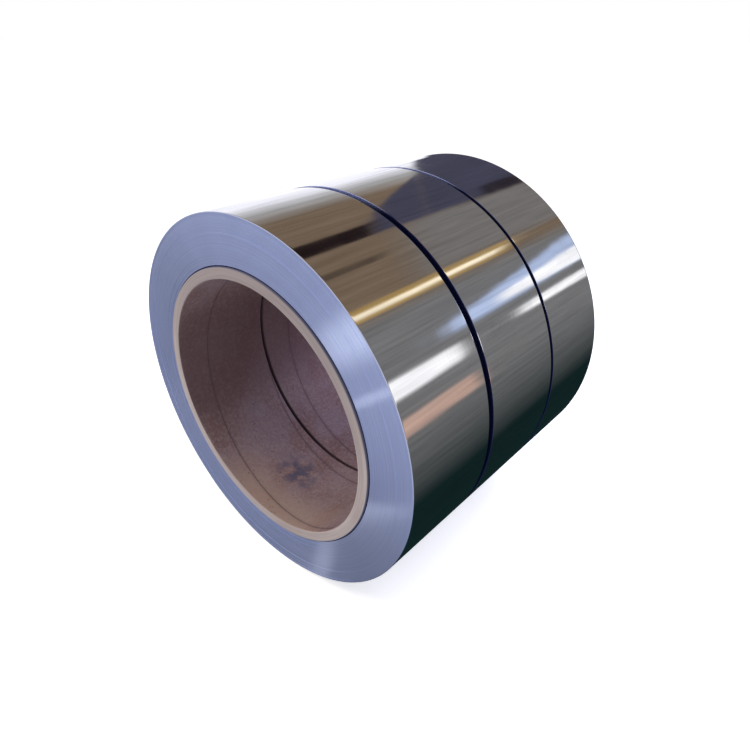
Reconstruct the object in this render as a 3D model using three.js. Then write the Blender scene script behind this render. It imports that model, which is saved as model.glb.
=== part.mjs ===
// Slit steel coil: bright stainless strip, slit into three and rewound side by side. Each strip is
// wound tight on its own cardboard core. Millimetres, +Z up. The common axis lies along Y, and the
// rolls lie on the floor plane z = 0.
import * as THREE from "three";

// Cardboard cores
const coreBore = 508; // the usual 20 inch mandrel
const coreWall = 22;
const coreProud = 3.5; // how far a core stands out of its roll at each end
const coreEdgeRadius = 3; // worn rounding of its rims

// Strip rolls, from the front
const rollOutside = 736;
const rolls = [
  { place: "front", width: 206, gapBehind: 13, frontShows: true },
  { place: "middle", width: 204, gapBehind: 8 },
  { place: "back", width: 184, gapBehind: 0, backShows: true },
];
const windingGap = 0.3; // between a core and the first wrap

// Wraps wander sideways as they are wound, so the ends show them as groups of turns. Each group has
// its radial build, and how far it sits back from the widest turns. They run from the core outwards,
// and the last group takes up the rest of the build.
const turnGroups = [
  { build: 3, setBack: 3 },
  { build: 6, setBack: 1.1 },
  { build: 10, setBack: 0.6 },
  { build: 14, setBack: 0 },
  { build: 8, setBack: 0.4 },
  { build: 17, setBack: 0.1 },
  { build: 11, setBack: 0.5 },
  { build: 13, setBack: 0.2 },
  { build: 6, setBack: 0.7 },
  { build: Infinity, setBack: 0 },
];

const facets = 80; // around the axis
const halfFacet = Math.PI / facets;
const roundingSteps = 2;

const rollRadius = rollOutside / 2;
const coreInside = coreBore / 2;
const coreOutside = coreInside + coreWall;
const rollInside = coreOutside + windingGap;
const axisHeight = rollRadius * Math.cos(halfFacet); // a facet, not a corner, lies on the floor
const rowLength = rolls.reduce((length, roll) => length + roll.width + roll.gapBehind, 0);

const brightSteel = new THREE.MeshStandardMaterial({
  color: 0x9a9ca3, roughness: 0.15, metalness: 1,
});
const paperBoard = new THREE.MeshStandardMaterial({
  color: 0x9c8476, roughness: 0.9, metalness: 0,
});

// The front half of a section is given from the axis outwards, at distances from the middle of the
// width. Its mirror image closes it, and the whole is turned about Y.
function turned(frontHalf, backHalf = frontHalf) {
  const section = [
    ...frontHalf.map(({ radius, out }) => new THREE.Vector2(radius, -out)),
    ...backHalf.map(({ radius, out }) => new THREE.Vector2(radius, out)).reverse(),
  ];
  return new THREE.LatheGeometry([...section, section[0]], facets, halfFacet);
}

// One end of a roll: a flat ring, or a ring stepped in groups of turns.
function rollEnd(out, turnsShow) {
  if (!turnsShow) return [{ radius: rollInside, out }, { radius: rollRadius, out }];
  const end = [];
  let inner = rollInside;
  for (const { build, setBack } of turnGroups) {
    const outer = Math.min(inner + build, rollRadius);
    end.push({ radius: inner, out: out - setBack }, { radius: outer, out: out - setBack });
    inner = outer;
  }
  return end;
}

function stripRoll({ place, width, frontShows, backShows }) {
  const geometry = turned(rollEnd(width / 2, frontShows), rollEnd(width / 2, backShows));
  const roll = new THREE.Mesh(geometry, brightSteel);
  roll.name = `strip_roll_${place}`;
  return roll;
}

// A quarter round on a rim of the core, from one flat side to the next.
function rimRounding(radius, out, startAngle) {
  return Array.from({ length: roundingSteps + 1 }, (_, step) => {
    const angle = startAngle + (step / roundingSteps) * (Math.PI / 2);
    return {
      radius: radius - coreEdgeRadius * Math.cos(angle),
      out: out + coreEdgeRadius * Math.sin(angle),
    };
  });
}

function cardboardCore({ place, width }) {
  const centre = width / 2 + coreProud - coreEdgeRadius;
  const geometry = turned([
    ...rimRounding(coreInside + coreEdgeRadius, centre, 0),
    ...rimRounding(coreOutside - coreEdgeRadius, centre, Math.PI / 2),
  ]);
  const core = new THREE.Mesh(geometry, paperBoard);
  core.name = `cardboard_core_${place}`;
  return core;
}

const slitCoil = new THREE.Group();
let frontEnd = -rowLength / 2;
for (const roll of rolls) {
  const rollOnCore = new THREE.Group();
  rollOnCore.add(stripRoll(roll), cardboardCore(roll));
  rollOnCore.position.set(0, frontEnd + roll.width / 2, axisHeight);
  slitCoil.add(rollOnCore);
  frontEnd += roll.width + roll.gapBehind;
}

export default slitCoil;
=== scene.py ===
import math
from functools import partial
import bpy
import numpy as np
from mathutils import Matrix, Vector


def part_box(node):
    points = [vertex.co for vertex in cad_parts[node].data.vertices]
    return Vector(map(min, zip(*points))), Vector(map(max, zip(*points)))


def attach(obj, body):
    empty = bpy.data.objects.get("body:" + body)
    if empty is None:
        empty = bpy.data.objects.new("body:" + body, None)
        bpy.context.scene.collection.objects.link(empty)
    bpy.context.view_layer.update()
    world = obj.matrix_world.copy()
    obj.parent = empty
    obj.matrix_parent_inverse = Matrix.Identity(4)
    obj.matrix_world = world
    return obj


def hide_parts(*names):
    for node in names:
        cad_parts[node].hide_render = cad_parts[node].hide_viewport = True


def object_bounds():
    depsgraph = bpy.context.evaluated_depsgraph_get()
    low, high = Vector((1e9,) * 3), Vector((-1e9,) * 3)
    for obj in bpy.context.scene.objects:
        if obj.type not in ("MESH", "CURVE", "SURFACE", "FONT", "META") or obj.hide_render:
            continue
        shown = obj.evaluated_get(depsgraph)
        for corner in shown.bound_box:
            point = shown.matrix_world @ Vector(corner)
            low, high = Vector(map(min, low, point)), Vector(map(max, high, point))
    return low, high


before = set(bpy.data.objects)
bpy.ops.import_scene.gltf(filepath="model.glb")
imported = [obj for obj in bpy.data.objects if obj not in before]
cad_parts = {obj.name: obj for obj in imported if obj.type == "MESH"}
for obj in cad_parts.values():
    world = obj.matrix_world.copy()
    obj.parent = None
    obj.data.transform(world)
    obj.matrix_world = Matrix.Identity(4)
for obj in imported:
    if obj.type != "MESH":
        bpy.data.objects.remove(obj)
cadLow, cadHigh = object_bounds()
mm = 0.001
places = ["front", "middle", "back"]
rollBoxes = {place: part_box("strip_roll_" + place) for place in places}
coreBoxes = {place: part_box("cardboard_core_" + place) for place in places}
axisHeight = (cadLow.z + cadHigh.z) / 2
rollRadius = rollBoxes["front"][1].x
boreRadius, coreRadius = 254 * mm, 276 * mm
print("frame loaded: axis %.4f m above the floor" % axisHeight)


def linear(hexColour):
    # sRGB hex to the linear values that the sockets take
    parts = [int(hexColour[i:i + 2], 16) / 255 for i in (1, 3, 5)]
    return [c / 12.92 if c <= 0.04045 else ((c + 0.055) / 1.055) ** 2.4 for c in parts] + [1.0]


def addNode(tree, kind, inputs=(), out=0, stops=None, **settings):
    # Adds one node. Inputs are values or other nodes' outputs, by number or name; stops are a
    # ramp's places and colours. Returns one output, or all of them where out is None.
    node = tree.nodes.new("ShaderNode" + kind)
    for name, value in settings.items():
        setattr(node, name, value)
    for name, value in (inputs.items() if isinstance(inputs, dict) else enumerate(inputs)):
        if isinstance(value, bpy.types.NodeSocket):
            tree.links.new(value, node.inputs[name])
        else:
            node.inputs[name].default_value = value
    if stops:
        ramp = node.color_ramp.elements
        ramp.remove(ramp[-1])
        ramp[0].position, ramp[0].color = stops[0]
        for place, colour in stops[1:]:
            ramp.new(place).color = colour
    return node.outputs if out is None else node.outputs[out]


def newMaterial(name):
    material = bpy.data.materials.new(name)
    material.use_nodes = True
    material.node_tree.nodes.clear()
    return material, material.node_tree


cameraView = {
    "place": Vector((763.2, -834.0, 1000.5)) * mm,
    "looksAlong": Vector((-0.5702, 0.6340, -0.5224)),
    "lens": 28.36,
    "sensor": 36,
    "farClip": 60,
}
cameraData = bpy.data.cameras.new("camera")
cameraData.lens = cameraView["lens"]
cameraData.sensor_width = cameraView["sensor"]
cameraData.clip_end = cameraView["farClip"]
cameraObject = bpy.data.objects.new("camera", cameraData)
cameraObject.location = cameraView["place"]
cameraObject.rotation_mode = "QUATERNION"
cameraObject.rotation_quaternion = cameraView["looksAlong"].to_track_quat("-Z", "Y")
bpy.context.scene.collection.objects.link(cameraObject)
bpy.context.scene.camera = cameraObject
bpy.context.scene.view_settings.view_transform = "Standard"
print("camera set")


studio = {
    "skyStrength": 0.58,        # soft light from all round
    "mirrorStrength": 1.35,     # brightness of what the steel mirrors
    "lamps": [("keyLamp", (-1.8, -2.0, 2.6), 1.6, 60.0, "#fff4ea"),
              ("backLamp", (0.9, 1.6, 1.7), 1.0, 38.0, "#dcdcff")],
    "floorTone": "#f2f2f2",
    "floorLift": 0.52,          # takes the floor to white for the camera, and leaves the shadow
    "floorReach": 30.0,
}
# What the mirror-bright strip reflects: long bands like the roof, lamps, doors and floor of a steel
# shop. Angles are in degrees round the coil, from +X towards the top. "Along" is how far a direction
# leans along the coil, as the tangent of the lean: 0.6 to 1.1 shows on the front roll, 1.1 to 1.5 on
# the middle one and 1.5 to 1.9 on the back one.
shopTones = {
    "daylight": "#ffffff", "skyHaze": "#e8e8f0", "roofGrey": "#a0a0a0", "roofBrown": "#706050",
    "beamDark": "#201818", "baySlate": "#404050", "wallGrey": "#707070", "doorBlue": "#b0c0e0",
    "lampWarm": "#fff0d0", "lampFringe": "#b09050", "benchTan": "#c0a090", "floorDark": "#102020",
}
shopBands = [
    (-180, "skyHaze"), (-165, "skyHaze"), (-150, "floorDark"), (-60, "floorDark"), (-5, "wallGrey"),
    (50, "wallGrey"), (60, "roofBrown"), (140, "roofBrown"), (155, "roofGrey"), (170, "skyHaze"),
]
# A patch is a tone, two ends as (along, low angle, high angle), the softness of its long sides in
# degrees and of its ends, and how much of it shows.
shopPatches = [
    ("wallGrey", (1.10, 65, 105), (1.95, 65, 105), 4.0, 0.10, 0.8),        # the far wall
    ("baySlate", (1.00, 105, 120), (1.20, 105, 150), 2.0, 0.02, 1.0),      # a dark bay of the roof
    ("baySlate", (1.20, 105, 185), (2.00, 105, 185), 2.0, 0.02, 1.0),
    ("baySlate", (1.25, -185, -165), (2.00, -185, -165), 2.0, 0.02, 1.0),
    ("beamDark", (0.60, 105, 115), (1.00, 105, 115), 1.0, 0.03, 1.0),      # beams
    ("beamDark", (1.45, 105, 115), (1.75, 105, 115), 2.0, 0.03, 0.8),
    ("beamDark", (0.60, 87, 91), (1.00, 87, 91), 1.0, 0.03, 0.6),
    ("lampFringe", (0.60, 56, 64), (1.50, 57, 65), 1.0, 0.03, 0.7),        # a long lamp
    ("lampWarm", (0.60, 58, 61), (1.45, 59, 62), 0.7, 0.05, 1.0),
    ("doorBlue", (1.10, 25, 32), (1.90, 25, 50), 2.0, 0.06, 0.9),          # the doors
    ("daylight", (1.35, 27, 32), (1.90, 25, 38), 1.5, 0.06, 1.0),
    ("daylight", (0.60, 8, 20), (1.10, 8, 18), 2.0, 0.05, 1.0),
    ("daylight", (1.40, 12, 17), (1.90, 10, 17), 1.5, 0.05, 1.0),
    ("benchTan", (0.60, -14, -4), (1.10, -14, -4), 2.0, 0.03, 0.9),        # a bench
]
# What the end faces mirror, in front of the coil: a blue-grey hall over a dark floor, paler straight
# ahead, and lamps that draw rays across the turns.
hallTones = {"hallPale": "#c0c4d8", "hallBlue": "#8090b8", "hallNight": "#141620"}
hallBands = [
    (-180, "hallPale"), (-150, "hallNight"), (-100, "hallNight"), (-45, "hallBlue"),
    (0, "hallPale"), (150, "hallPale"),
]
# A lamp is where it stands as the x and z of its direction, its turn in degrees, its half length
# and half width, and its strength. All are white.
hallLamps = [
    (-0.60, -0.45, 40, 0.05, 0.05, 0.8),
    (-0.55, -0.55, 30, 0.05, 0.01, 0.6),
    (-0.50, -0.70, 0, 0.05, 0.01, 0.5),
    (-0.50, -0.75, -60, 0.05, 0.01, 0.3),
]
mirrored = {
    "streaks": (0.55, 3.0),     # how many for a degree round and for 1 along
    "streakRange": (0.55, 1.45),    # from the darkest to the brightest
    "gateway": (2.1, 3.5),      # along, from where the open gate behind the coil begins to show
    "aheadTone": "#b0b4c8",     # straight ahead of the coil
    "aheadFade": (-1.2, -0.2),  # along, from there to the bands of the hall
    "clutterScale": 50.0,       # small things all over the hall
    "clutter": (1.3, 0.35),     # how strongly they vary, and their darkest
    "lampFade": (0.4, 1.4),     # where a lamp fades, in parts of its half sizes
    "border": (0.0, 0.45),      # along, from the hall to the shop
}


def shopLight(tree):
    # angle = atan2(up, right) and along = back / sqrt(right^2 + up^2) of the direction looked in
    add = partial(addNode, tree)
    direction = add("TexCoord", out="Generated")
    right, back, up = add("SeparateXYZ", [direction], out=None)
    angle = add("Math", [up, right], operation="ARCTAN2")
    angle = add("Math", [angle, 180 / math.pi], operation="MULTIPLY")
    turn = add("Math", [angle, 1 / 360, 0.5], operation="MULTIPLY_ADD")
    flat = add("CombineXYZ", {"X": right, "Z": up})
    flat = add("VectorMath", [flat], out="Value", operation="LENGTH")
    flat = add("Math", [flat, 0.01], operation="MAXIMUM")
    along = add("Math", [back, flat], operation="DIVIDE")
    shop, front = [add("ValToRGB", [turn], stops=[((at + 180) / 360, linear(tones[tone]))
                                                  for at, tone in table])
                   for tones, table in ((shopTones, shopBands), (hallTones, hallBands))]
    for tone, start, end, soft, endSoft, amount in shopPatches:
        # inside = step(angle - low) step(high - angle) step(along - start) step(end - along)
        inside = amount
        for side in (1, 2):
            slope = (end[side] - start[side]) / (end[0] - start[0])
            edge = add("Math", [along, slope, start[side] - slope * start[0]],
                       operation="MULTIPLY_ADD")
            depth = add("Math", [angle, edge] if side == 1 else [edge, angle],
                        operation="SUBTRACT")
            step = add("MapRange", [depth, -soft, soft], interpolation_type="SMOOTHSTEP")
            inside = add("Math", [step, inside], operation="MULTIPLY")
        for low, high, bottom, top in ((start[0] - endSoft, start[0] + endSoft, 0.0, 1.0),
                                       (end[0] - endSoft, end[0] + endSoft, 1.0, 0.0)):
            step = add("MapRange", [along, low, high, bottom, top],
                       interpolation_type="SMOOTHSTEP")
            inside = add("Math", [step, inside], operation="MULTIPLY")
        shop = add("Mix", {0: inside, 6: shop, 7: linear(shopTones[tone])}, out=2,
                   data_type="RGBA")
    # fine streaks, as every beam and pipe adds its own
    streaks = add("CombineXYZ", [add("Math", [way, count], operation="MULTIPLY")
                                 for way, count in zip((angle, along), mirrored["streaks"])])
    streaks = add("TexNoise", {"Vector": streaks, "Scale": 1.0, "Detail": 3.0, "Roughness": 0.6},
                  noise_dimensions="2D")
    streaks = add("MapRange", [streaks, 0.0, 1.0, *mirrored["streakRange"]])
    shop = add("VectorMath", [shop, streaks], operation="MULTIPLY")
    gateway = add("MapRange", [along, *mirrored["gateway"]])
    shop = add("Mix", {0: gateway, 6: shop, 7: linear(shopTones["doorBlue"])}, out=2,
               data_type="RGBA")

    ahead = add("MapRange", [along, *mirrored["aheadFade"], 1.0, 0.0])
    front = add("Mix", {0: ahead, 6: front, 7: linear(mirrored["aheadTone"])}, out=2,
                data_type="RGBA")
    clutter = add("TexNoise", {"Vector": direction, "Scale": mirrored["clutterScale"],
                               "Detail": 2.0})
    clutter = add("Math", [clutter, *mirrored["clutter"]], operation="MULTIPLY_ADD")
    front = add("VectorMath", [front, clutter], operation="MULTIPLY")
    for x, z, turned, halfLength, halfWidth, strength in hallLamps:
        away = add("Mapping", [direction, (x, -math.sqrt(1 - x * x - z * z), z),
                               (0, -math.radians(turned), 0), (halfLength, 1.0, halfWidth)],
                   vector_type="TEXTURE")
        away = add("VectorMath", [away], out="Value", operation="LENGTH")
        glow = add("MapRange", [away, *mirrored["lampFade"], strength, 0.0],
                   interpolation_type="SMOOTHSTEP")
        glow = add("VectorMath", {0: (1.0, 1.0, 1.0), "Scale": glow}, operation="SCALE")
        front = add("VectorMath", [front, glow], operation="ADD")
    # the hall in front and the shop behind, each a background of its own, with a soft border
    front, shop = [add("Background", [half, studio["mirrorStrength"]]) for half in (front, shop)]
    behind = add("MapRange", [along, *mirrored["border"]], interpolation_type="SMOOTHSTEP")
    return add("MixShader", [behind, front, shop])


world = bpy.data.worlds.new("studio")
bpy.context.scene.world = world
world.use_nodes = True
worldTree = world.node_tree
worldTree.nodes.clear()
softSky = addNode(worldTree, "Background", [linear("#ffffff"), studio["skyStrength"]])
whiteBack = addNode(worldTree, "Background", [linear("#ffffff"), 1.0])
shopBack = shopLight(worldTree)
isGlossy = addNode(worldTree, "LightPath", out="Is Glossy Ray")
isCamera = addNode(worldTree, "LightPath", out="Is Camera Ray")
seen = addNode(worldTree, "MixShader", [isGlossy, softSky, shopBack])
seen = addNode(worldTree, "MixShader", [isCamera, seen, whiteBack])
addNode(worldTree, "OutputWorld", [seen], out=None)
world.cycles.sampling_method = "NONE"

for name, place, size, power, tone in studio["lamps"]:
    lampData = bpy.data.lights.new(name, "AREA")
    lampData.shape = "DISK"
    lampData.size = size
    lampData.energy = power
    lampData.color = linear(tone)[:3]
    lampObject = bpy.data.objects.new(name, lampData)
    lampObject.location = place
    lampObject.rotation_mode = "QUATERNION"
    lampObject.rotation_quaternion = (Vector((0, 0, axisHeight)) - Vector(place)).to_track_quat(
        "-Z", "Y")
    lampObject.visible_glossy = False
    bpy.context.scene.collection.objects.link(lampObject)

# pale floor paper: matt, white to the camera
floorMaterial, tree = newMaterial("pale_floor_paper")
paper = addNode(tree, "BsdfDiffuse", [linear(studio["floorTone"])])
lift = addNode(tree, "Emission", [linear("#ffffff"), studio["floorLift"]])
lifted = addNode(tree, "AddShader", [paper, lift])
isCamera = addNode(tree, "LightPath", out="Is Camera Ray")
addNode(tree, "OutputMaterial", [addNode(tree, "MixShader", [isCamera, paper, lifted])], out=None)
floorMesh = bpy.data.meshes.new("floor")
reach = studio["floorReach"]
floorMesh.from_pydata([(-reach, -reach, 0), (reach, -reach, 0), (reach, reach, 0),
                       (-reach, reach, 0)], [], [(0, 1, 2, 3)])
floorMesh.materials.append(floorMaterial)
floorObject = bpy.data.objects.new("floor", floorMesh)
bpy.context.scene.collection.objects.link(floorObject)
floorObject.visible_glossy = False      # the strip mirrors the dark shop floor instead
print("studio set")


def ringGrid(name, radius, y, angle, sharpAngle=35):
    # A closed section turned round the axis: the point (i, j) is
    # (r cos a, y, axisHeight + r sin a) with r = radius[i, j], y = y[i, j] and a = angle[j].
    # Rows and columns both close on themselves.
    rows, columns = radius.shape
    points = np.stack([radius * np.cos(angle), y, axisHeight + radius * np.sin(angle)], -1)
    i, j = np.meshgrid(np.arange(rows), np.arange(columns), indexing="ij")
    down, right = (i + 1) % rows, (j + 1) % columns
    quads = np.stack([i * columns + j, i * columns + right,
                      down * columns + right, down * columns + j], -1).reshape(-1, 4)
    mesh = bpy.data.meshes.new(name)
    mesh.vertices.add(rows * columns)
    mesh.vertices.foreach_set("co", points.astype(np.float32).ravel())
    mesh.loops.add(quads.size)
    mesh.loops.foreach_set("vertex_index", quads.astype(np.int32).ravel())
    mesh.polygons.add(len(quads))
    mesh.polygons.foreach_set("loop_start", np.arange(0, quads.size, 4, dtype=np.int32))
    mesh.update(calc_edges=True)
    # u = turns round the axis, v = metres along the section
    step = np.hypot(np.diff(radius, axis=0, append=radius[:1]), np.diff(y, axis=0, append=y[:1]))
    section = np.concatenate([[0], np.cumsum(step.mean(1))])
    turns = np.append(angle, angle[0] + 2 * math.pi) / (2 * math.pi)
    u = np.stack([turns[j], turns[j + 1], turns[j + 1], turns[j]], -1).ravel()
    v = np.stack([section[i], section[i], section[i + 1], section[i + 1]], -1).ravel()
    layer = mesh.uv_layers.new(name="around")
    layer.data.foreach_set("uv", np.stack([u, v], -1).astype(np.float32).ravel())
    mesh.validate()
    mesh.shade_smooth()
    mesh.set_sharp_from_angle(angle=math.radians(sharpAngle))
    piece = bpy.data.objects.new(name, mesh)
    bpy.context.scene.collection.objects.link(piece)
    return piece, i.ravel(), quads.ravel(), u


strip = {
    "mirrorTone": "#dcdcdf",
    "edgeTones": ["#cbd5f1", "#dae2fb"],    # darker and lighter wraps of the slit end, with a blue tint that is painted reflection of blue daylight
    "paintedShadeTones": ["#2b3160", "#3a4274"],   # wraps in the gaps and next to the cores, painted dark as painted shade
    "paintedTopLightTone": "#dae0ff",       # painted light: the dark ends lighter at the top of the gaps, where light falls in from above
    "paintedTopLightFrom": 0.93,            # parts of the radius above the axis where that begins
    "paintedTopLightTo": 0.99,
    "pitch": 1.2 * mm,          # from wrap to wrap, drawn a little coarser than 0.8 mm strip
    "columns": 360,             # steps round a roll
    "step": 0.03 * mm,          # how far one wrap stands out from the next
    "wander": 0.10 * mm,        # how far a wrap weaves sideways on its way round
    # an end is wound in fine steps or plain, has its rim rounded, and is clean or painted dark as
    # painted shade
    "ends": {"face": (True, 1.1 * mm, False), "gap": (False, 0.7 * mm, True)},
    "windingGap": 0.3 * mm,     # between the core and the first wrap
    "rimRoom": 2.5,             # radial room kept for a rim, in rim radii
    "paintedShadeBuild": 1.4 * mm,       # how far out from the core a clean end is painted dark, as painted shade beside the core
    "tail": math.radians(-128), # where the outermost wrap ends, on the underside
    "tailStep": 0.0008,         # radians that the step of the tail takes
    "spiralWraps": 3,           # pitches below the rim where the spiral begins
    "thickness": 0.8 * mm,
    # radial build and set-back of each group of turns, from the core outwards
    "groups": [(2, 0.9), (6, 0.6), (10, 0.3), (14, 0), (8, 0.3), (17, 0.1), (11, 0.3),
               (13, 0.1), (6, 0.4), (9999, 0)],
}


def mirrorStrip():
    # Bright annealed stainless strip: rolled on polished rolls and annealed without air. A soft
    # mirror with a faint grain along the rolling direction, which runs round the coil, and a thin
    # uneven film of oil.
    material, tree = newMaterial("bright_annealed_stainless")
    add = partial(addNode, tree)
    place = add("TexCoord", out="Object")
    around = add("UVMap", uv_map="around")
    # rolling grain: lines some 150 mm long, drawn 3 mm apart where the real ones are 0.3 mm
    grain = add("Mapping", {"Vector": around, "Scale": (15, 330, 1)})
    grain = add("TexNoise", {"Vector": grain, "Scale": 1.0, "Detail": 3.0, "Roughness": 0.65})
    film = add("TexNoise", {"Vector": place, "Scale": 14.0, "Detail": 2.0})     # 70 mm patches
    rough = add("MapRange", [grain, 0.3, 0.7, 0.045, 0.085])
    film = add("MapRange", [film, 0.5, 0.75, 0.0, 0.035])
    rough = add("Math", [rough, film], operation="ADD")
    # slow waviness of thin strip, about 200 mm long and 80 mm across
    wave = add("Mapping", {"Vector": place, "Scale": (5, 12, 5)})
    wave = add("TexNoise", {"Vector": wave, "Scale": 1.0, "Detail": 1.0})
    bump = add("Bump", {"Strength": 0.03, "Distance": 0.01, "Height": wave})
    tangent = add("Tangent", direction_type="UV_MAP", uv_map="around")
    shader = add("BsdfPrincipled", {
        "Base Color": linear(strip["mirrorTone"]), "Metallic": 1.0, "Roughness": rough,
        "Anisotropic": 0.5, "Anisotropic Rotation": 0.25, "Normal": bump, "Tangent": tangent})
    add("OutputMaterial", [shader], out=None)
    return material


def slitEdges(name, tones, tornRoughness, paintedTopLightTone=None):
    # The sheared edges of the wraps: half of each is burnished by the knife and half is torn.
    # Both spread light across the turns and hardly along them, so the end shines in rays from the
    # middle, sharp ones over satin ones.
    material, tree = newMaterial(name)
    add = partial(addNode, tree)
    x, y, z = add("SeparateXYZ", [add("TexCoord", out="Object")], out=None)
    up = add("Math", [z, axisHeight], operation="SUBTRACT")
    radius = add("VectorMath", [add("CombineXYZ", [x, up])], out="Value", operation="LENGTH")
    # each wrap has its own tone: bands of radius some 1.5 to 5 mm wide
    wraps = add("TexNoise", {"W": radius, "Scale": 420.0, "Detail": 2.0, "Roughness": 0.7},
                noise_dimensions="1D")
    wraps = add("MapRange", [wraps, 0.3, 0.7], interpolation_type="SMOOTHSTEP")
    tone = add("Mix", {0: wraps, 6: linear(tones[0]), 7: linear(tones[1])}, out=2,
               data_type="RGBA")
    # painted light: the ends in the gaps turn lighter towards the top, where light falls in from
    # above
    if paintedTopLightTone:
        paintedTopLight = add("MapRange", [up, strip["paintedTopLightFrom"] * rollRadius, strip["paintedTopLightTo"] * rollRadius],
                  interpolation_type="SMOOTHSTEP")
        tone = add("Mix", {0: paintedTopLight, 6: tone, 7: linear(paintedTopLightTone)}, out=2, data_type="RGBA")
    tangent = add("Tangent", direction_type="UV_MAP", uv_map="around")
    torn, burnished = [add("BsdfPrincipled", {
        "Base Color": tone, "Metallic": 1.0, "Roughness": roughness, "Anisotropic": anisotropy,
        "Anisotropic Rotation": 0.25, "Tangent": tangent})
        for roughness, anisotropy in ((tornRoughness, 0.96), (0.11, 1.0))]
    add("OutputMaterial", [add("MixShader", [0.5, torn, burnished])], out=None)
    return material


mirrorMaterial = mirrorStrip()
edgeMaterial = slitEdges("slit_strip_edges", strip["edgeTones"], 0.28)
paintedShadeEdgeMaterial = slitEdges("painted_shade_strip_edges", strip["paintedShadeTones"], 0.45,
                               strip["paintedTopLightTone"])


def rollEnd(seed, fine, rim):
    # From the core outwards: each wrap is a flat step at its own small distance from the face,
    # and the rim is a quarter round. Returns radius, set-back and sideways weave of each point.
    rng = np.random.default_rng(seed)
    inner = coreRadius + strip["windingGap"]
    radii, backs, weaves = [], [], []
    for build, setBack in strip["groups"]:
        outer = min(inner + build * mm, rollRadius - strip["rimRoom"] * rim)
        count = max(1, round((outer - inner) / strip["pitch"])) if fine else 1
        edges = np.linspace(inner, outer, count + 1)
        lean = np.linspace(0, rng.uniform(-0.1, 0.1) * mm, count)
        offsets = setBack * mm + lean + rng.normal(0, strip["step"], count)
        radii.append(np.repeat(edges, 2)[1:-1])
        backs.append(np.repeat(np.maximum(offsets, 0), 2))
        weaves.append(np.repeat(np.abs(rng.normal(0, 1, count)), 2))
        inner = outer
    radius, back, weave = map(np.concatenate, (radii, backs, weaves))
    arc = np.linspace(0, math.pi / 2, 5)
    radius = np.concatenate([radius, rollRadius - rim + rim * np.sin(arc), [rollRadius]])
    back = np.concatenate([back, back[-1] + rim - rim * np.cos(arc), [back[-1] + 3 * rim]])
    return radius, back, np.concatenate([weave, np.zeros(len(arc) + 1)])


def stripRoll(place, frontEnd, backEnd, seed):
    # A turned section whose wraps weave sideways by slow waves: y = face + back + weave * wave(a).
    # The outermost wrap is a spiral: r = radius - thickness * (turns since the tail), near the rim.
    low, high = rollBoxes[place]
    frontFine, frontRim, frontDark = strip["ends"][frontEnd]
    backFine, backRim, backDark = strip["ends"][backEnd]
    front, rear = rollEnd(seed, frontFine, frontRim), rollEnd(seed + 1, backFine, backRim)
    radius = np.concatenate([front[0], rear[0][::-1]])[:, None]
    y = np.concatenate([low.y + front[1], (high.y - rear[1])[::-1]])[:, None]
    weave = np.concatenate([front[2], -rear[2][::-1]])[:, None]
    columns = strip["columns"]
    angle = strip["tail"] + np.linspace(0, 2 * math.pi, columns, endpoint=False)
    angle = np.append(angle, strip["tail"] + 2 * math.pi - strip["tailStep"])
    phase = np.cumsum(np.random.default_rng(seed + 7).normal(0, 0.25, len(radius)))[:, None]
    wave = 0.5 + 0.5 * np.sin(angle + phase)
    y = y + weave * strip["wander"] * wave
    since = (angle - strip["tail"]) / (2 * math.pi)
    spiralDepth = strip["spiralWraps"] * strip["pitch"]
    nearRim = np.clip((radius - rollRadius + spiralDepth) / strip["pitch"], 0, 1)
    radius = radius - strip["thickness"] * since * nearRim
    piece, rowOfFace = ringGrid("wound_strip_" + place, radius, y, angle)[:2]
    outerRow = len(front[0]) - 1
    # the mirror takes in the whole rounded rim of a clean end, and one row of a dark one
    frontReach, backReach = [1 if dark else 4 for dark in (frontDark, backDark)]
    outside = (rowOfFace >= outerRow - frontReach) & (rowOfFace <= outerRow + backReach)
    # painted shade: the wraps next to the core and the ends that face a gap take the dark material
    shaded = radius[rowOfFace, 0] < coreRadius + strip["paintedShadeBuild"]
    shaded |= (rowOfFace < outerRow - frontReach) & frontDark
    shaded |= (rowOfFace > outerRow + backReach) & backDark
    for material in (edgeMaterial, mirrorMaterial, paintedShadeEdgeMaterial):
        piece.data.materials.append(material)
    piece.data.polygons.foreach_set("material_index", np.select([outside, shaded], [1, 2], 0)
                                    .astype(np.int32))
    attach(piece, "root")
    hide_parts("strip_roll_" + place)


stripRoll("front", "face", "gap", 11)
stripRoll("middle", "gap", "gap", 23)
stripRoll("back", "gap", "face", 37)
print("strip rolls wound")


core = {
    "liner": "#86737a", "linerWarm": "#7c6263", "linerPale": "#a0908e", "rim": "#a49a99",
    "rimPale": "#b8aeac", "seam": "#46363a", "speckAndJointShade": "#54434a", "ink": "#454a62",
    "paintedLeftShade": "#5c4144", "paintedBottomLight": "#a58e80", "rimTopTone": "#7d7277",
    "paintedCreviceShade": "#5a5c70",
    "columns": 240,             # steps round a core
    "edgeRound": 3.0 * mm,
    "roundSteps": 6,            # points on a rounded edge
    "rimSteps": 12,             # and across the flat of a rim
    "endDepth": 12 * mm,        # how far in from a rim its shape reaches
    "waves": (2, 40),           # orders of the waves that wear a rim, from and up to
    "wear": 0.5 * mm,           # how far the rims are worn back in places
    "seamPitch": 155 * mm,      # the liner's seam winds along by this in a turn
    "seamStart": {"front": 323 * mm, "middle": 95 * mm, "back": 41 * mm},
    "smearPlace": Vector((-0.045, -0.190, axisHeight - 0.250)),
}


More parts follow.
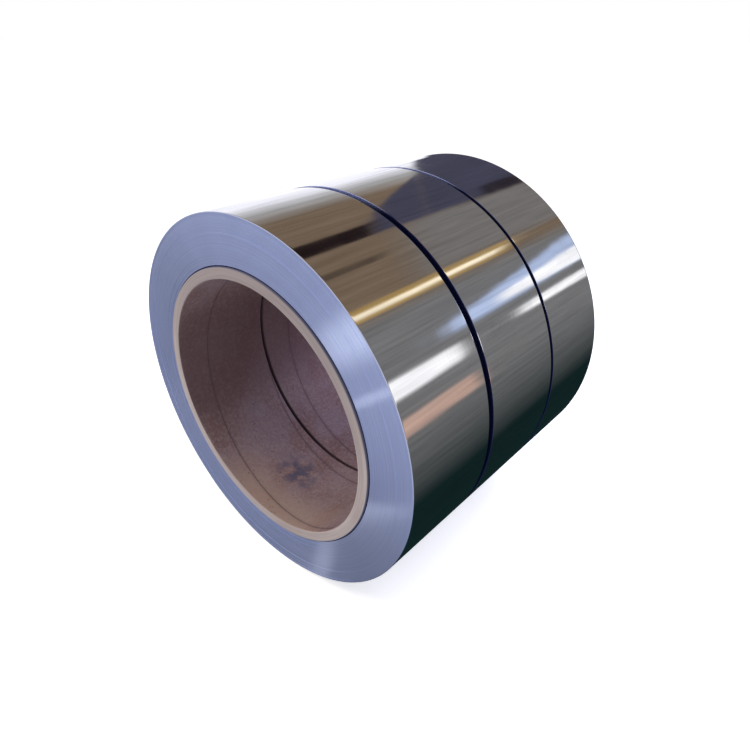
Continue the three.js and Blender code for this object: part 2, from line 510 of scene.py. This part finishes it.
def coreBoard():
    # Spiral-wound grey board: matt, felted fibres, rubbed by mandrels. A dark butt seam winds along
    # the wall, and the cut rim is paler and shows its plies as fine rings.
    material, tree = newMaterial("spiral_wound_paper_board")
    add = partial(addNode, tree)
    place = add("TexCoord", out="Object")
    x, y, z = add("SeparateXYZ", [place], out=None)
    up = add("Math", [z, axisHeight], operation="SUBTRACT")
    radius = add("VectorMath", [add("CombineXYZ", [x, up])], out="Value", operation="LENGTH")
    cloud = add("TexNoise", {"Vector": place, "Scale": 9.0, "Detail": 3.0})     # 100 mm stains
    scuffs = add("TexNoise", {"Vector": place, "Scale": 38.0, "Detail": 2.0})   # 25 mm scuffs
    fibre = add("TexNoise", {"Vector": place, "Scale": 150.0, "Detail": 5.0,    # 7 mm and finer
                             "Roughness": 0.65})

    warm = add("MapRange", [cloud, 0.35, 0.62], interpolation_type="SMOOTHSTEP")
    wall = add("Mix", {0: warm, 6: linear(core["linerWarm"]), 7: linear(core["liner"])}, out=2,
               data_type="RGBA")
    for pattern, low, high, amount in ((scuffs, 0.50, 0.72, 0.18), (fibre, 0.42, 0.66, 0.42)):
        pale = add("MapRange", [pattern, low, high, 0.0, amount], interpolation_type="SMOOTHSTEP")
        wall = add("Mix", {0: pale, 6: wall, 7: linear(core["linerPale"])}, out=2,
                   data_type="RGBA")
    # painted shade on the left side of the bore, and painted light at the front of the bottom, where
    # light falls in
    paintedLeftShade = add("MapRange", [x, -0.19, -0.25, 0.0, 0.6], interpolation_type="SMOOTHSTEP")
    wall = add("Mix", {0: paintedLeftShade, 6: wall, 7: linear(core["paintedLeftShade"])}, out=2, data_type="RGBA")
    bottomLightMask = add("MapRange", [y, -0.20, -0.30, 0.0, 0.7], interpolation_type="SMOOTHSTEP")
    bottom = add("MapRange", [up, -0.18, -0.25], interpolation_type="SMOOTHSTEP")
    bottomLightMask = add("Math", [bottomLightMask, bottom], operation="MULTIPLY")
    wall = add("Mix", {0: bottomLightMask, 6: wall, 7: linear(core["paintedBottomLight"])}, out=2, data_type="RGBA")
    # dark flecks of recycled fibre, 2 to 3 mm, in drifts
    flecks = add("TexVoronoi", {"Vector": place, "Scale": 130.0}, out="Distance")
    flecks = add("MapRange", [flecks, 0.16, 0.30, 0.5, 0.0], interpolation_type="SMOOTHSTEP")
    drifts = add("TexNoise", {"Vector": place, "Scale": 30.0, "Detail": 1.0})
    drifts = add("MapRange", [drifts, 0.50, 0.62], interpolation_type="SMOOTHSTEP")
    flecks = add("Math", [flecks, drifts], operation="MULTIPLY")
    wall = add("Mix", {0: flecks, 6: wall, 7: linear(core["speckAndJointShade"])}, out=2, data_type="RGBA")

    # the seam is where the second map's u is a whole number: a dark gap 1 mm wide, frayed, with
    # a darker strip beside it
    turns = add("SeparateXYZ", [add("UVMap", uv_map="seam")])
    fray = add("TexNoise", {"Vector": place, "Scale": 160.0, "Detail": 2.0})
    fray = add("MapRange", [fray, 0.0, 1.0, -0.003, 0.003])
    away = add("Math", [turns, 0.5], operation="PINGPONG")
    away = add("Math", [away, fray], operation="ADD")
    beside = add("MapRange", [away, 0.0, 0.05, 0.22, 0.0], interpolation_type="SMOOTHSTEP")
    wall = add("Mix", {0: beside, 6: wall, 7: linear(core["speckAndJointShade"])}, out=2, data_type="RGBA")
    seam = add("MapRange", [away, 0.0025, 0.0065, 0.8, 0.0], interpolation_type="SMOOTHSTEP")
    wall = add("Mix", {0: seam, 6: wall, 7: linear(core["seam"])}, out=2, data_type="RGBA")

    # a smear of blue marking ink near the front, rubbed until nothing can be read
    smear = add("VectorMath", [place, core["smearPlace"]], operation="SUBTRACT")
    smear = add("VectorMath", [smear, (1 / 0.075, 1 / 0.058, 1 / 0.08)], operation="MULTIPLY")
    smear = add("VectorMath", [smear], out="Value", operation="LENGTH")
    smear = add("MapRange", [smear, 0.2, 1.0, 0.8, 0.0], interpolation_type="SMOOTHSTEP")
    blot = add("TexNoise", {"Vector": place, "Scale": 45.0, "Detail": 4.0})
    blot = add("MapRange", [blot, 0.36, 0.60], interpolation_type="SMOOTHSTEP")
    smear = add("Math", [smear, blot], operation="MULTIPLY")
    wall = add("Mix", {0: smear, 6: wall, 7: linear(core["ink"])}, out=2, data_type="RGBA")

    # the rims: rings of ply about 1 mm apart, and painted shade where two cores meet
    rings = add("VectorMath", [add("CombineXYZ", [radius, x, up]), (900.0, 6.0, 6.0)],
                operation="MULTIPLY")
    rings = add("TexNoise", {"Vector": rings, "Scale": 1.0, "Detail": 1.0})
    rings = add("MapRange", [rings, 0.38, 0.62], interpolation_type="SMOOTHSTEP")
    rim = add("Mix", {0: rings, 6: linear(core["rim"]), 7: linear(core["rimPale"])}, out=2,
              data_type="RGBA")
    stained = add("MapRange", [cloud, 0.5, 0.7, 0.0, 0.35], interpolation_type="SMOOTHSTEP")
    rim = add("Mix", {0: stained, 6: rim, 7: linear(core["linerPale"])}, out=2, data_type="RGBA")
    # the rims get darker towards the top
    towardsTop = add("MapRange", [up, -0.05, 0.25, 0.0, 0.5], interpolation_type="SMOOTHSTEP")
    rim = add("Mix", {0: towardsTop, 6: rim, 7: linear(core["rimTopTone"])}, out=2, data_type="RGBA")
    # painted shade: the rims that face the next core across the joint are painted dark
    isEnd = add("MapRange", [add("Math", [y], operation="ABSOLUTE"), 0.25, 0.28])
    rim = add("Mix", {0: isEnd, 6: linear(core["speckAndJointShade"]), 7: rim}, out=2, data_type="RGBA")
    onRim = add("MapRange", [radius, boreRadius + 0.2 * mm, boreRadius + 2.2 * mm],
                interpolation_type="SMOOTHSTEP")
    colour = add("Mix", {0: onRim, 6: wall, 7: rim}, out=2, data_type="RGBA")
    # painted shade: the outer wall of each core, where it stands out beside the strip, is painted
    # dark for the shade in the crevice
    outer = add("MapRange", [radius, coreRadius - 1.6 * mm, coreRadius - 0.2 * mm, 0.0, 0.95],
                interpolation_type="SMOOTHSTEP")
    colour = add("Mix", {0: outer, 6: colour, 7: linear(core["paintedCreviceShade"])}, out=2,
                 data_type="RGBA")

    height = add("Math", [seam, -2.0, fibre], operation="MULTIPLY_ADD")
    bump = add("Bump", {"Strength": 0.3, "Distance": 0.0006, "Height": height})
    shader = add("BsdfPrincipled", {"Base Color": colour, "Roughness": 0.85, "Normal": bump})
    add("OutputMaterial", [shader], out=None)
    return material


boardMaterial = coreBoard()


def cardboardCore(place, seed):
    # A turned ring with quarter-round edges. The rims are worn back by slow waves:
    # w(a) = sum of sin(k a + p) / k^0.8, cut off at 0 and 1.
    low, high = coreBoxes[place]
    rim, quarter = core["edgeRound"], np.linspace(0, math.pi / 2, core["roundSteps"])
    inner = boreRadius + rim - rim * np.cos(quarter)
    outer = coreRadius - rim + rim * np.cos(quarter[::-1])
    plies = np.linspace(inner[-1], outer[0], core["rimSteps"])[1:-1]
    radius = np.concatenate([[boreRadius], inner, plies, outer, [coreRadius]])
    out = np.concatenate([rim * np.sin(quarter) - rim, np.zeros(len(plies)),
                          rim * np.sin(quarter[::-1]) - rim])
    out = np.concatenate([[-core["endDepth"]], out, [-core["endDepth"]]])[:, None]
    angle = np.linspace(0, 2 * math.pi, core["columns"], endpoint=False)
    rng = np.random.default_rng(seed)
    orders = np.arange(*core["waves"])[:, None]
    worn = [core["wear"] * np.clip(0.3 + 0.35 * np.sum(
        np.sin(orders * angle + rng.uniform(0, 6.28, (len(orders), 1))) / orders ** 0.8, 0), 0, 1)
        for side in range(2)]
    nearRim = np.clip(1 + out / (2 * rim), 0, 1)
    y = np.concatenate([low.y - out + worn[0] * nearRim,
                        (high.y + out - worn[1] * nearRim)[::-1]])
    radius = np.repeat(np.concatenate([radius, radius[::-1]])[:, None], len(angle), 1)
    piece, faceRows, corners, u = ringGrid("paper_core_" + place, radius, y, angle)
    # second map, for the seam: u = (y + pitch * turns + start) / pitch
    seamTurns = (y.ravel()[corners] + core["seamStart"][place]) / core["seamPitch"] + u
    layer = piece.data.uv_layers.new(name="seam")
    layer.data.foreach_set("uv", np.stack([seamTurns, u], -1).astype(np.float32).ravel())
    piece.data.materials.append(boardMaterial)
    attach(piece, "root")
    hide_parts("cardboard_core_" + place)


for seed, place in enumerate(places):
    cardboardCore(place, 70 + seed)
print("cores made")
